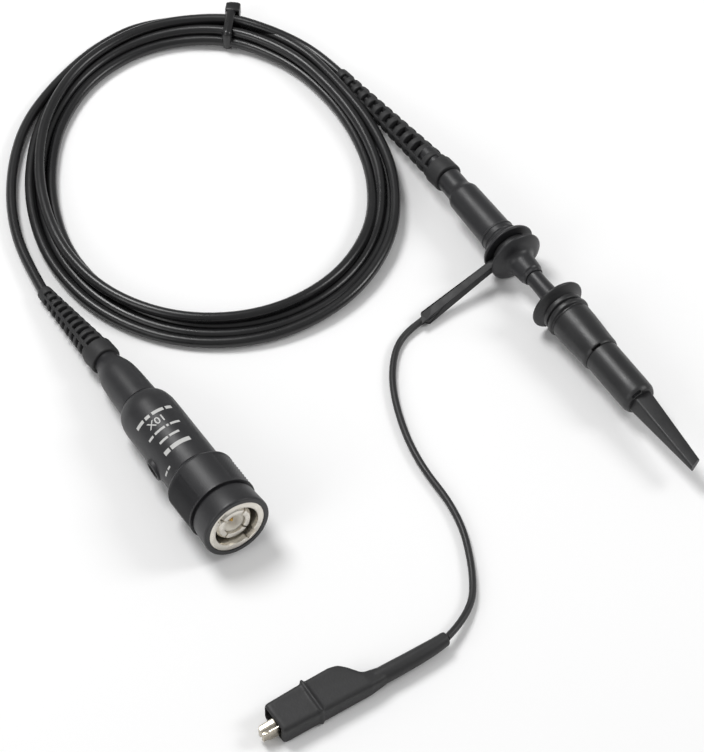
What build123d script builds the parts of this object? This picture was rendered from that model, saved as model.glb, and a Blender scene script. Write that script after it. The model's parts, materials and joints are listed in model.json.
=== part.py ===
"""Passive oscilloscope probe with its cable, ground lead and compensation plug.

Millimetres, +Z up.  The probe head lies along +X, tip forwards, with its two finger
discs resting on z = 0.  The cable, the plug and the ground lead lie on the same surface.
Each function below builds one sub-assembly and returns its named pieces.
"""

import os
from math import atan, cos, degrees, pi, radians, tan

from build123d import *

# ---- probe head, along X --------------------------------------------------------------
head_half = 68.0  # the head runs from -68 (strain relief) to +68 (beak)
guard_radius = 6.2  # finger discs, so also the height of the head's axis
body_start = -18.5  # rear shoulder of the housing
rear_disc_face = -0.4  # front face of the housing's own disc
front_disc_face = 1.9  # rear face of the loose front disc
neck_start = 9.2  # end of the hub, start of the thin insulator
flange_rim = 17.8  # rear rim of the hook sleeve
grip_end = 34.7  # step between grip sleeve and beak sleeve
beak_start = 49.0  # step between beak sleeve and beak
beak_roll = 20.0  # turn of the beak's broad face about the head's axis, degrees
barrel_radius = 2.0  # metal ground barrel that the ground ring clips on
bore_gap = 0.05  # radial gap where one round piece sits in another

# ---- strain reliefs and cable -----------------------------------------------------------
cable_radius = 1.2
relief_tail_radius = 1.65
relief_collar = 4.0
head_relief_start = -24.5  # where the collar meets the housing's neck
head_relief_collar_radius = 3.15
plug_relief_length = 25.8
plug_relief_collar_radius = 3.35
coil_centre = (-58.6, -44.3)
coil_turn = -30.0  # direction of the coil's long axis, degrees
coil_outside = (50.3, 38.7)  # half axes of the coil's outer outline
coil_inside = (42.4, 31.7)
coil_height = 4.8
tie_place = (-95.0, -16.6)
tie_width = 2.6

# ---- compensation plug, measured along its own axis from the tail -------------------------
plug_tail = (-46.4, -88.5)
plug_neck_end = 40.9
plug_box_front = 64.4
plug_box_radius = 6.2
plug_grip_start = 64.7
plug_grip_groove = 75.2
plug_front = 80.7
plug_grip_radius = 7.35
nut_bore_radius = 4.9
contact_radius = 4.0
contact_bore_radius = 2.45
contact_root_radius = 3.6  # neck behind the contact sleeve, where the gasket sits
trimmer_along = 57.2
trimmer_side = 100.0  # degrees from the top, towards -Y

# ---- ground lead --------------------------------------------------------------------------
wire_radius = 0.75
strap_end = (3.3, -24.2, 1.35)
clip_place = (75.0, -64.9)
clip_half_height = 2.5
boot_length = 38.4
clip_pivot = (27.0, -1.3)
clip_tip = 42.7

relief_droop = degrees(atan((guard_radius - relief_tail_radius) / (head_relief_start + head_half)))
plug_tilt = degrees(atan((plug_grip_radius - relief_tail_radius) / plug_grip_start))

on_head = Pos(0, 0, guard_radius)
on_head_relief = Pos(head_relief_start, 0, guard_radius) * Rot(0, -relief_droop, 0)
on_plug = Pos(plug_tail[0], plug_tail[1], relief_tail_radius) * Rot(0, -plug_tilt, 0)
on_clip = Pos(clip_place[0], clip_place[1], clip_half_height) * Rot(0, 0, -90)


def turned(*outline):
    """Solid of revolution about X from (x, radius) points."""
    return revolve(make_face(Polyline(*outline, close=True)), Axis.X)


def ring(start, end, outside, inside):
    """Plain tube along X."""
    return turned((start, inside), (start, outside), (end, outside), (end, inside))


def rod(start, end, radius):
    """Plain round bar along X."""
    return turned((start, 0), (start, radius), (end, radius), (end, 0))


def block(x, y, z, centre=(0, 0, 0)):
    """Box of the given size about its centre."""
    return Pos(*centre) * Box(x, y, z)


def relief(tail_x, collar_x, collar_radius, windows, spigot):
    """Tapered rubber ladder: four rows of windows, alternate rows offset by half a pitch."""
    collar_start = collar_x - relief_collar
    sleeve = turned(
        (tail_x, cable_radius + bore_gap),
        (tail_x, relief_tail_radius),
        (collar_start, collar_radius - 0.3),
        (collar_start, collar_radius),
        (collar_x, collar_radius),
        (collar_x, cable_radius + bore_gap),
    )
    sleeve -= spigot
    pitch = (collar_start - tail_x - 2.0) / (windows + 0.5)
    cuts = []
    for row in range(4):
        for step in range(windows):
            along = tail_x + 2.0 + pitch * (step + 0.25 + 0.5 * (row % 2))
            share = (along - tail_x) / (collar_start - tail_x)
            outside = relief_tail_radius + share * (collar_radius - relief_tail_radius)
            depth = outside - cable_radius + 0.6
            place = Rot(90 * row, 0, 0) * Pos(along, 0, cable_radius + 0.1 + depth / 2)
            cuts.append(place * Box(pitch * 0.5, outside * 1.05, depth))
    return sleeve - cuts


def head_pieces():
    """Housing, guard, nose, electrical parts and strain relief of the probe head."""
    spigot_start = head_relief_start - 9.0
    housing = turned(
        (spigot_start, 1.6),
        (spigot_start, 2.15),
        (head_relief_start, 2.15),
        (head_relief_start, 2.85),
        (body_start - 1.0, 2.85),
        (body_start, 3.6),
        (rear_disc_face - 3.0, 3.9),
        (rear_disc_face - 1.3, 4.2),
        (rear_disc_face - 1.0, 5.9),
        (rear_disc_face, guard_radius),
        (rear_disc_face, barrel_radius + bore_gap),
        (rear_disc_face - 2.6, barrel_radius + bore_gap),
        (rear_disc_face - 2.6, 2.9),
        (body_start + 1.0, 2.9),
        (body_start + 1.0, 2.3),
        (body_start - 3.5, 2.3),
        (body_start - 3.5, 1.6),
    )
    guard = turned(
        (front_disc_face, barrel_radius + bore_gap),
        (front_disc_face, guard_radius),
        (front_disc_face + 0.6, guard_radius),
        (front_disc_face + 1.3, guard_radius - 0.9),
        (front_disc_face + 1.5, 3.3),
        (front_disc_face + 2.6, 3.0),
        (neck_start - 0.8, 2.65),
        (neck_start, 2.3),
        (neck_start, barrel_radius + bore_gap),
    )
    barrel = ring(-8.0, neck_start - 0.7, barrel_radius, 1.55)
    shield = ring(body_start + 1.2, rear_disc_face - 3.0, 2.8, 2.6)
    insulator = turned(
        (6.0, 0.45),
        (6.0, 1.5),
        (neck_start - 0.7, 1.5),
        (neck_start - 0.7, 1.95),
        (12.0, 1.95),
        (flange_rim - 0.8, 2.2),
        (flange_rim + 0.7, 2.2),
        (flange_rim + 0.7, 1.9),
        (25.0, 1.9),
        (25.0, 0.45),
    )
    pin = turned((3.0, 0), (3.0, 0.4), (27.5, 0.4), (29.0, 0.1), (29.0, 0))
    board = block(12.0, 4.0, 0.8, (-14.5, 0, 0))
    resistor = rod(-7.0, 1.0, 0.9) + rod(-8.5, -7.0, 0.25) + rod(1.0, 2.9, 0.25)
    capacitor = block(2.4, 1.4, 1.0, (-12.0, 0, 0.91))
    ferrule = ring(spigot_start + 0.5, head_relief_start - 1.0, 1.55, cable_radius + bore_gap)
    pieces = {
        "head_housing": housing,
        "front_guard": guard,
        "ground_barrel": barrel,
        "shield_tube": shield,
        "nose_insulator": insulator,
        "contact_pin": pin,
        "attenuator_board": board,
        "tip_resistor": resistor,
        "tip_capacitor": capacitor,
    }
    pieces = {name: on_head * piece for name, piece in pieces.items()}
    tail_x = -(head_half + head_relief_start) / cos(radians(relief_droop))
    pocket = Rot(0, relief_droop, 0) * rod(-9.3, 0.1, 2.2)
    pieces["head_relief"] = on_head_relief * relief(tail_x, 0.0, head_relief_collar_radius, 12, pocket)
    pieces["head_relief"] -= on_head * rod(head_relief_start, head_relief_start + 1.0, 4.0)
    pieces["head_cable_end"] = on_head_relief * rod(tail_x, -9.6, cable_radius)
    pieces["head_ferrule"] = on_head * ferrule
    return pieces


def hook_pieces():
    """Spring hook tip: inner core with the hook, outer sleeves that slide back over it."""
    core_rear = flange_rim + 1.2
    core_front = 45.4  # the bore in the beak still clears it when the sleeve is drawn back
    core = turned(
        (core_rear, 1.95),
        (core_rear, 3.2),
        (31.0, 3.2),
        (31.0, 1.6),
        (core_front, 1.6),
        (core_front, 0.35),
        (31.1, 0.35),
        (31.1, 1.05),
        (25.1, 1.05),
        (25.1, 1.95),
    )
    socket = ring(25.2, 31.05, 1.0, 0.43)
    hook_radius = 0.3
    hook_line = FilletPolyline((31.2, 0), (66.6, 0), (66.6, -1.3), (65.2, -1.3), radius=0.45)
    hook = sweep(Plane(hook_line @ 0, z_dir=hook_line % 0) * Circle(hook_radius), hook_line)
    hook = Rot(90 + beak_roll, 0, 0) * hook
    spring_turns = 9
    helix = Helix(pitch=14.0 / spring_turns, height=14.0, radius=2.3)
    coil = sweep(Plane(helix @ 0, z_dir=helix % 0) * Circle(0.22), helix)
    spring = Pos(31.4, 0, 0) * Rot(0, 90, 0) * coil
    grip = turned(
        (flange_rim, 5.4),
        (flange_rim, guard_radius),
        (flange_rim + 0.7, guard_radius),
        (flange_rim + 1.3, 4.6),
        (flange_rim + 2.0, 4.1),
        (flange_rim + 2.6, 4.8),
        (flange_rim + 3.4, 4.8),
        (flange_rim + 3.7, 4.3),
        (flange_rim + 4.2, 5.0),
        (flange_rim + 5.1, 5.0),
        (flange_rim + 5.5, 4.5),
        (grip_end - 0.7, 4.35),
        (grip_end, 4.0),
        (grip_end, 3.8),
        (30.0, 3.8),
        (30.0, 3.3),
        (core_rear - 0.1, 3.3),
        (core_rear - 0.1, 2.4),
        (core_rear - 0.7, 2.4),
    )
    slide = turned(
        (30.1, 3.3),
        (30.1, 3.75),
        (grip_end, 3.75),
        (grip_end, 3.85),
        (beak_start - 0.8, 3.85),
        (beak_start, 3.3),
        (beak_start, 1.7),
        (46.0, 1.7),
        (46.0, 3.3),
    )
    base = Plane.YZ.offset(beak_start - 1.0) * RectangleRounded(5.4, 4.2, 1.2)
    end = Plane.YZ.offset(head_half) * RectangleRounded(3.9, 1.1, 0.4)
    beak = loft([base, end])
    beak -= rod(beak_start - 1.1, beak_start, 3.9) - rod(beak_start - 1.1, beak_start, 3.25)
    slot = block(head_half - 44.0, 0.8, 3.0, (56.0, 0, -1.15))
    slide = slide + Rot(beak_roll, 0, 0) * (beak - slot) - rod(beak_start - 1.1, 51.0, 1.7)
    pieces = {
        "hook_core": core,
        "tip_socket": socket,
        "hook_wire": hook,
        "hook_spring": spring,
        "grip_sleeve": grip,
        "beak_sleeve": slide,
    }
    return {name: on_head * piece for name, piece in pieces.items()}


def lead_tube(radius, *points):
    """Tube along straight runs joined by arcs as large as the runs allow; prints their radii."""
    places = [Vector(*point) for point in points]
    runs = [after - before for before, after in zip(places, places[1:])]
    radii = []
    for before, after in zip(runs, runs[1:]):
        half_turn = radians(before.get_angle(after)) / 2
        radii.append(0.45 * min(before.length, after.length) / tan(half_turn))
    path = FilletPolyline(*points, radius=radii)
    tube = sweep(Plane(path @ 0, z_dir=path % 0) * Circle(radius), path)
    expected = path.length * pi * radius**2
    print("radii", [round(r, 1) for r in radii], "length", round(path.length, 1))
    print("volume over section times length", round(tube.volume / expected, 4))
    return tube


def cable_pieces():
    """Coiled signal cable between the two strain reliefs, and its tie."""
    outline = Ellipse(*coil_outside) - Ellipse(*coil_inside)
    coil = extrude(outline, coil_height)
    coil = fillet(coil.edges(), 1.9)
    coil = Pos(coil_centre[0], coil_centre[1], 0) * Rot(0, 0, coil_turn) * coil
    head_run = lead_tube(
        cable_radius,
        (-head_half, 0, relief_tail_radius),
        (-75.0, -0.4, 1.3),
        (-82.0, -3.8, 1.25),
        (-88.0, -9.0, 1.25),
    )
    plug_run = lead_tube(
        cable_radius,
        (plug_tail[0], plug_tail[1], relief_tail_radius),
        (-56.5, -88.9, 1.25),
        (-67.5, -87.4, 1.2),
        (-78.5, -82.6, 1.2),
        (-88.5, -74.0, 1.2),
        (-95.0, -63.5, 1.2),
    )
    strap = block(tie_width, 10.6, 6.4, (0, 0, 3.2)) - block(tie_width + 1, 8.4, 4.2, (0, 0, 3.2))
    head = block(3.6, 3.4, 4.6, (0, 6.4, 3.2))
    tie = Pos(tie_place[0], tie_place[1], 0) * Rot(0, 0, 52.0) * (strap + head)
    return {
        "cable_coil": coil,
        "cable_head_run": head_run,
        "cable_plug_run": plug_run,
        "cable_tie": tie,
    }


def ground_lead_pieces():
    """Ring on the barrel, moulded strap, thin wire and the booted crocodile clip."""
    collar = on_head * ring(-0.1, 1.6, 4.4, 3.15)
    clip_ring = on_head * (ring(0.0, 1.5, 3.1, barrel_radius + 0.03) - block(3, 1.6, 3, (0.5, 0, 2.4)))
    root = Plane(origin=(0.75, -3.6, 5.4), x_dir=(1, 0, 0), z_dir=(0, -1, -0.1))
    outlet = Plane(origin=strap_end, x_dir=(1, 0, 0), z_dir=(0.08, -1, -0.1))
    strap = loft([root * RectangleRounded(1.6, 2.2, 0.5), outlet * RectangleRounded(2.7, 2.0, 0.8)])
    strap = strap + collar - on_head * rod(-0.2, 1.7, 3.15)
    wire = lead_tube(
        wire_radius,
        strap_end,
        (3.7, -29.0, 0.85),
        (7.6, -34.8, 0.75),
        (17.0, -40.9, 0.75),
        (33.0, -45.7, 0.75),
        (50.0, -45.6, 0.75),
        (64.5, -49.2, 0.75),
        (72.6, -56.0, 1.2),
        (clip_place[0], clip_place[1], clip_half_height),
    )
    pieces = {"ground_ring": clip_ring, "lead_strap": strap, "lead_wire": wire}
    pieces.update(clip_pieces())
    return pieces


def clip_pieces():
    """Boot and metal parts of the clip, built along X from the wire and then turned to -Y."""
    profile = Polyline(
        (17.5, 1.7),
        (boot_length, 1.7),
        (boot_length, -4.9),
        (29.2, -5.8),
        (22.4, -5.5),
        (20.2, -4.4),
        (18.6, -1.9),
        (17.5, -1.7),
        close=True,
    )
    hood = extrude(Pos(0, 0, -clip_half_height) * make_face(profile), 2 * clip_half_height)
    hood = fillet(hood.edges().filter_by(Axis.X) + hood.faces().sort_by(Axis.Y)[0].edges(), 0.6)
    cavity = Polyline(
        (20.4, 1.0),
        (boot_length + 1, 1.0),
        (boot_length + 1, -4.15),
        (29.2, -5.1),
        (22.8, -4.8),
        (20.4, -3.6),
        close=True,
    )
    cavity = extrude(Pos(0, 0, -1.8) * make_face(cavity), 3.6)
    tail = turned((0, 0), (0, 1.45), (18.5, 1.7), (18.5, 0))
    hole = rod(-0.1, 8.0, wire_radius + bore_gap) + rod(8.0, 21.0, 1.25)
    boot = hood + tail - hole - cavity
    pivot_x, pivot_y = clip_pivot
    plate = block(20.8, 0.3, 2.9, (31.0, 0.8, 0))
    walls = block(8.0, 2.6, 0.3, (pivot_x + 0.5, -0.6, 1.3))
    walls += block(8.0, 2.6, 0.3, (pivot_x + 0.5, -0.6, -1.3))
    mouth = Polyline(
        (33.0, 0.95),
        (33.0, -0.1),
        (clip_tip - 0.4, 0.03),
        (clip_tip, 0.3),
        (clip_tip, 0.95),
        close=True,
    )
    mouth = extrude(Pos(0, 0, -1.1) * make_face(mouth), 2.2)
    tongue = block(7.4, 0.3, 1.2, (17.2, 0.8, 0))
    crimp = ring(9.0, 13.5, 1.15, 0.8)
    fixed = plate + walls + mouth + tongue + crimp
    fixed -= Pos(pivot_x, pivot_y, 0) * Cylinder(0.5, 4.0)
    lever = Polyline(
        (21.6, -3.75),
        (26.0, -2.9),
        (31.0, -2.3),
        (clip_tip - 0.5, -1.5),
        (clip_tip, -1.0),
        (clip_tip, -0.3),
        (clip_tip - 0.4, -0.03),
        (33.0, -0.16),
        (29.0, -0.6),
        (25.5, -0.9),
        (25.2, -2.4),
        (21.6, -3.3),
        close=True,
    )
    lever = extrude(Pos(0, 0, -1.1) * make_face(lever), 2.2)
    room = block(5.0, 2.4, 1.4, (27.2, -1.3, 0))
    lever = lever - room - Pos(pivot_x, pivot_y, 0) * Cylinder(0.55, 4.0)
    pivot = Pos(pivot_x, pivot_y, 0) * Cylinder(0.5, 2.9)
    spring = Pos(pivot_x, pivot_y, 0) * (Cylinder(0.95, 1.2) - Cylinder(0.6, 2.0))
    core = rod(8.2, 13.4, wire_radius)
    pieces = {
        "clip_boot": boot,
        "clip_fixed_jaw": fixed,
        "clip_moving_jaw": lever,
        "clip_pivot_pin": pivot,
        "clip_spring": spring,
        "lead_wire_end": core,
    }
    return {name: on_clip * piece for name, piece in pieces.items()}


def plug_pieces():
    """Compensation box with its trimmer, and the bayonet plug, along X from the tail."""
    relief_end = plug_relief_length
    spigot_start = relief_end - 9.0
    neck = turned(
        (spigot_start, 1.6),
        (spigot_start, 2.15),
        (relief_end, 2.15),
        (relief_end, 2.6),
        (relief_end + 3.2, 2.7),
        (relief_end + 6.0, 3.5),
        (relief_end + 8.5, 4.1),
        (plug_neck_end, 4.35),
        (plug_neck_end, 3.2),
        (relief_end + 8.5, 3.0),
        (relief_end + 4.0, 1.6),
    )
    shell = turned(
        (plug_neck_end, 3.2),
        (plug_neck_end, 4.5),
        (plug_neck_end + 1.2, 5.5),
        (plug_neck_end + 2.8, 6.05),
        (plug_neck_end + 4.4, plug_box_radius),
        (plug_box_front, plug_box_radius),
        (plug_box_front, 5.4),
        (plug_neck_end + 5.0, 5.4),
        (plug_neck_end + 1.6, 4.4),
        (plug_neck_end + 1.6, 3.2),
    )
    chassis = ring(plug_neck_end + 5.6, plug_box_front, 5.35, 4.7)
    chassis += ring(plug_box_front - 2.0, plug_box_front, 5.0, 4.25)
    toward_trimmer = Pos(trimmer_along, 0, 0) * Rot(trimmer_side, 0, 0)
    shell -= toward_trimmer * Pos(0, 0, 5.5) * Cylinder(1.7, 3.0)
    chassis -= toward_trimmer * Pos(0, 0, 5.0) * Cylinder(2.0, 3.0)
    stator = toward_trimmer * Pos(0, 0, 3.0) * Cylinder(1.8, 2.2)
    stator += toward_trimmer * Pos(0, 0, 1.2) * Box(1.0, 1.0, 1.6)
    screw = toward_trimmer * Pos(0, 0, 4.85) * (Cylinder(1.3, 1.4) - Pos(0, 0, 0.6) * Box(2.8, 0.4, 0.5))
    board = block(8.4, 7.4, 0.8, (plug_neck_end + 10.0, 0, -0.2))
    resistors = block(2.0, 1.2, 0.6, (50.5, 1.6, 0.51)) + block(2.0, 1.2, 0.6, (47.5, 1.6, 0.51))
    body = turned(
        (60.0, contact_bore_radius),
        (60.0, 4.2),
        (69.4, 4.2),
        (69.4, 4.75),
        (70.6, 4.75),
        (70.6, contact_root_radius),
        (73.0, contact_root_radius),
        (73.4, contact_radius),
        (79.2, contact_radius),
        (79.8, contact_radius - 0.5),
        (79.8, contact_bore_radius),
    )
    for turn in range(4):
        body -= Rot(45 + 90 * turn, 0, 0) * block(6.0, 0.35, 3.0, (77.0, 0, 3.5))
    dielectric = ring(60.5, 72.5, contact_bore_radius - 0.01, 0.7)
    centre_pin = turned((58.0, 0), (58.0, 0.68), (77.6, 0.68), (78.6, 0.25), (78.6, 0))
    gasket = ring(70.65, 71.6, 4.7, contact_root_radius + bore_gap)
    nut = ring(66.5, plug_front - 0.1, 6.3, nut_bore_radius)
    nut += ring(66.5, 68.6, 5.0, 4.25)
    notch = block(6.0, 2.2, 1.0, (plug_front - 2.9, 0, nut_bore_radius + 0.2))
    for turn in range(2):
        nut -= Rot(215 + 180 * turn, 0, 0) * notch
    washer = ring(68.75, 69.1, nut_bore_radius - 0.1, 4.3)
    groove = plug_grip_groove
    grip = turned(
        (plug_grip_start, 5.4),
        (plug_grip_start, 6.6),
        (plug_grip_start + 1.2, plug_grip_radius),
        (groove - 0.3, plug_grip_radius),
        (groove - 0.3, 6.8),
        (groove + 0.3, 6.8),
        (groove + 0.3, 7.15),
        (plug_front - 0.4, 7.5),
        (plug_front, 7.3),
        (plug_front, 6.32),
        (66.4, 6.32),
        (66.4, 5.4),
    )
    pocket = rod(spigot_start - 0.3, relief_end + 0.1, 2.2)
    pieces = {
        "plug_relief": relief(0.0, relief_end, plug_relief_collar_radius, 9, pocket),
        "plug_cable_end": rod(0.0, spigot_start + 6.0, cable_radius),
        "plug_ferrule": ring(spigot_start + 0.5, relief_end - 1.0, 1.55, cable_radius + bore_gap),
        "plug_neck": neck,
        "box_shell": shell,
        "box_chassis": chassis,
        "compensation_board": board,
        "board_resistors": resistors,
        "trimmer_stator": stator,
        "trimmer_screw": screw,
        "plug_body": body,
        "plug_dielectric": dielectric,
        "plug_centre_pin": centre_pin,
        "plug_gasket": gasket,
        "wave_washer": washer,
        "coupling_nut": nut,
        "coupling_grip": grip,
    }
    return {name: on_plug * piece for name, piece in pieces.items()}


os.makedirs("parts", exist_ok=True)
for group in (head_pieces(), hook_pieces(), cable_pieces(), ground_lead_pieces(), plug_pieces()):
    for name, piece in group.items():
        export_step(piece, f"parts/{name}.step")
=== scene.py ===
"""Look model of a passive oscilloscope probe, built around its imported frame.

A piece's mesh is shaped in millimetres along its own sub-assembly's axis, as a drawing gives it,
and is turned into its place and scaled to metres when it is finished.
"""

import json
import logging
import math
from dataclasses import dataclass
from enum import Enum

import bmesh
import bpy
from mathutils import Matrix, Vector


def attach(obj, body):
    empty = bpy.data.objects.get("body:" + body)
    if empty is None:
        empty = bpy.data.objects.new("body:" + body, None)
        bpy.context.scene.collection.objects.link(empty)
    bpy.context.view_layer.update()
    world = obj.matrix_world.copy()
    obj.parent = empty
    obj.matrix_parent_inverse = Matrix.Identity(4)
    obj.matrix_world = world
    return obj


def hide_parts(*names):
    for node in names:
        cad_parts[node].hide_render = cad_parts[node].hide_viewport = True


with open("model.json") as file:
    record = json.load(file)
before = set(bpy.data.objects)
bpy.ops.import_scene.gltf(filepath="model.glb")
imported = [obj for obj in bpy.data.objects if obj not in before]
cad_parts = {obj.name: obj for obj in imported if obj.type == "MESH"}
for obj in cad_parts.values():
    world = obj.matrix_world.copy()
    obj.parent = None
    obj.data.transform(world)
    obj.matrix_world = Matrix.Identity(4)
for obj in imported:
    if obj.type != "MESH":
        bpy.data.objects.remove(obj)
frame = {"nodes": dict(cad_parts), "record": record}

log = logging.getLogger("probe")

MM = 0.001
FULL_TURN = math.tau
ROUND_STEPS = 96
SHARP_ANGLE = math.radians(32)
MERGE = 1e-4
ROOT_BODY = "probe_head"


# ---- materials ------------------------------------------------------------------------------


def linear(code: str) -> tuple[float, float, float, float]:
    """Turns an sRGB hex colour into the linear values that a shader takes.

    Args:
        code: Six hex digits after a hash.

    Returns:
        Red, green, blue and an alpha of 1.
    """
    channels = [int(code[i : i + 2], 16) / 255 for i in (1, 3, 5)]
    red, green, blue = (
        c / 12.92 if c <= 0.04045 else ((c + 0.055) / 1.055) ** 2.4 for c in channels
    )
    return red, green, blue, 1.0


def add(tree: bpy.types.NodeTree, kind: str, settings: dict, inputs: dict) -> bpy.types.Node:
    """Adds a node with its settings, values and links.

    Args:
        tree: The node tree.
        kind: The node's type name.
        settings: The node's own properties.
        inputs: Values or other nodes' output sockets, by the input's name or number.

    Returns:
        The new node.
    """
    node = tree.nodes.new(kind)
    for name, value in settings.items():
        setattr(node, name, value)
    for key, value in inputs.items():
        if isinstance(value, bpy.types.NodeSocket):
            tree.links.new(value, node.inputs[key])
        else:
            node.inputs[key].default_value = value
    return node


class Grain(Enum):
    """How a surface was made, which decides the fine relief on it."""

    SPARKED = "fine pits of a spark-eroded mould"
    EXTRUDED = "long faint die lines"
    TURNED = "fine rings of a lathe tool"
    WOVEN = "glass cloth under resin"
    SPECKLED = "powdery blotches of ink or resin"


@dataclass(frozen=True)
class Finish:
    """One real finish: what it is made of, its two close colours and its fine relief.

    Lengths are millimetres. The second colour shows in soft patches of mottle size, and where
    edges are rubbed by as much as wear says.
    """

    name: str
    colour: str
    second: str
    mottle: float
    rough: float
    rough_spread: float
    grain: Grain
    grain_size: float
    grain_depth: float
    wear: float = 0.0
    metallic: float = 0.0
    ior: float = 1.5
    coat: float = 0.0
    tilt: float = 0.0

    def make(self) -> bpy.types.Material:
        """Builds the material.

        Returns:
            The material, with all its patterns on object coordinates.
        """
        material = bpy.data.materials.new(self.name)
        material.use_nodes = True
        tree = material.node_tree
        tree.nodes.clear()
        place = add(tree, "ShaderNodeTexCoord", {}, {}).outputs["Object"]
        patches = add(
            tree,
            "ShaderNodeTexNoise",
            {},
            {"Vector": place, "Scale": 1 / (self.mottle * MM), "Detail": 4.0, "Roughness": 0.6},
        )
        worn = add(tree, "ShaderNodeAttribute", {"attribute_name": "wear"}, {})
        scuffs = add(
            tree,
            "ShaderNodeTexNoise",
            {},
            {"Vector": place, "Scale": 1 / (0.6 * MM), "Detail": 3.0},
        )
        rubbed = add(
            tree,
            "ShaderNodeMath",
            {"operation": "MULTIPLY"},
            {0: worn.outputs["Fac"], 1: scuffs.outputs["Fac"]},
        )
        rubbed = add(
            tree,
            "ShaderNodeMath",
            {"operation": "MULTIPLY_ADD", "use_clamp": True},
            {0: rubbed.outputs[0], 1: self.wear, 2: patches.outputs["Fac"]},
        )
        colour = add(
            tree,
            "ShaderNodeMix",
            {"data_type": "RGBA"},
            {0: rubbed.outputs[0], 6: linear(self.colour), 7: linear(self.second)},
        )
        rough = add(
            tree,
            "ShaderNodeMapRange",
            {},
            {
                "Value": patches.outputs["Fac"],
                "From Min": 0.3,
                "From Max": 0.7,
                "To Min": self.rough - self.rough_spread,
                "To Max": self.rough + self.rough_spread,
            },
        )
        relief = self.relief(tree, place)
        bump = add(
            tree,
            "ShaderNodeBump",
            {},
            {"Height": relief, "Strength": 1.0, "Distance": self.grain_depth * MM},
        )
        shader = add(
            tree,
            "ShaderNodeBsdfPrincipled",
            {},
            {
                "Base Color": colour.outputs[2],
                "Roughness": rough.outputs[0],
                "Normal": bump.outputs[0],
                "Metallic": self.metallic,
                "IOR": self.ior,
                "Coat Weight": self.coat,
                "Coat Roughness": 0.12,
            },
        )
        add(tree, "ShaderNodeOutputMaterial", {}, {"Surface": shader.outputs[0]})
        return material

    def relief(self, tree: bpy.types.NodeTree, place: bpy.types.NodeSocket) -> bpy.types.NodeSocket:
        """Adds the height pattern of the fine relief.

        Args:
            tree: The material's node tree.
            place: The object coordinates.

        Returns:
            The socket with the height.
        """
        fine = 1 / (self.grain_size * MM)
        if self.grain is Grain.SPARKED:
            pits = add(tree, "ShaderNodeTexVoronoi", {"feature": "SMOOTH_F1"}, {"Vector": place, "Scale": fine})
            return pits.outputs["Distance"]
        if self.grain is Grain.SPECKLED:
            noise = add(tree, "ShaderNodeTexNoise", {}, {"Vector": place, "Scale": fine, "Detail": 3.0})
            return noise.outputs["Fac"]
        if self.grain is Grain.WOVEN:
            threads = [
                add(
                    tree,
                    "ShaderNodeTexWave",
                    {"bands_direction": direction},
                    {"Vector": place, "Scale": fine / 2},
                ).outputs["Fac"]
                for direction in ("X", "Y")
            ]
            crossed = add(tree, "ShaderNodeMath", {"operation": "MAXIMUM"}, {0: threads[0], 1: threads[1]})
            return crossed.outputs[0]
        # a lathe's rings are close together along the axis, and a die's lines far apart
        squeeze = (fine, fine / 40, fine / 40) if self.grain is Grain.TURNED else (fine / 12, fine, fine)
        along = add(
            tree,
            "ShaderNodeMapping",
            {"vector_type": "TEXTURE"},
            {"Vector": place, "Rotation": (0.0, -math.radians(self.tilt), 0.0)},
        )
        spaced = add(
            tree,
            "ShaderNodeVectorMath",
            {"operation": "MULTIPLY"},
            {0: along.outputs[0], 1: squeeze},
        )
        lines = add(tree, "ShaderNodeTexNoise", {}, {"Vector": spaced.outputs[0], "Scale": 1.0, "Detail": 2.0})
        return lines.outputs["Fac"]


PLUG_TILT = 5.03

# Injection-moulded polycarbonate blend: satin black with a very fine spark texture, so light
# spreads into broad soft bands, and corners rub slightly paler and smoother.
HOUSING = Finish(
    "moulded_polycarbonate", "#1b1b1d", "#28282a", 7.0, 0.42, 0.05, Grain.SPARKED, 0.22, 0.012, wear=0.5
)
# Glass-filled nylon of the hook tip: a shade darker, a little rougher, same mould texture.
HOOK_NYLON = Finish(
    "moulded_nylon", "#19191a", "#262627", 6.0, 0.4, 0.06, Grain.SPARKED, 0.25, 0.014, wear=0.6
)
# Thermoplastic elastomer of the strain reliefs: matt, with a soft bloom.
RELIEF_RUBBER = Finish(
    "moulded_elastomer", "#1b1b1c", "#272728", 3.0, 0.6, 0.08, Grain.SPARKED, 0.3, 0.02, wear=0.4
)
# Extruded soft PVC of the signal cable: glossy, with faint lines from the die.
CABLE_PVC = Finish("extruded_pvc", "#141415", "#1d1d1e", 12.0, 0.3, 0.06, Grain.EXTRUDED, 0.5, 0.02)
# Silicone-soft PVC of the thin ground wire: satin and slightly greasy.
WIRE_PVC = Finish("soft_wire_pvc", "#19191a", "#242425", 5.0, 0.45, 0.08, Grain.EXTRUDED, 0.35, 0.02)
# Soft moulded PVC of the clip boot and the strap: matt and a little mottled.
BOOT_PVC = Finish(
    "moulded_soft_pvc", "#1b1b1c", "#262627", 2.5, 0.55, 0.08, Grain.SPARKED, 0.4, 0.02, wear=0.3
)
# Moulded nylon 6.6 of the cable tie: smooth, with a clean gloss.
TIE_NYLON = Finish("tie_nylon_66", "#161617", "#202021", 4.0, 0.3, 0.04, Grain.SPECKLED, 0.5, 0.01)
# Bright nickel on turned brass: warm grey mirror, broken by the tool's rings.
NICKEL = Finish(
    "nickel_plate", "#e4e0d8", "#cfcac0", 1.6, 0.3, 0.06, Grain.TURNED, 0.08, 0.004, metallic=1.0, tilt=PLUG_TILT
)
# Nickel on pressed steel strip: the same plate, with rolling marks.
PRESSED_NICKEL = Finish(
    "pressed_nickel", "#cfc9bd", "#aaa292", 1.2, 0.27, 0.08, Grain.SPECKLED, 0.3, 0.002, metallic=1.0
)
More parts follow.
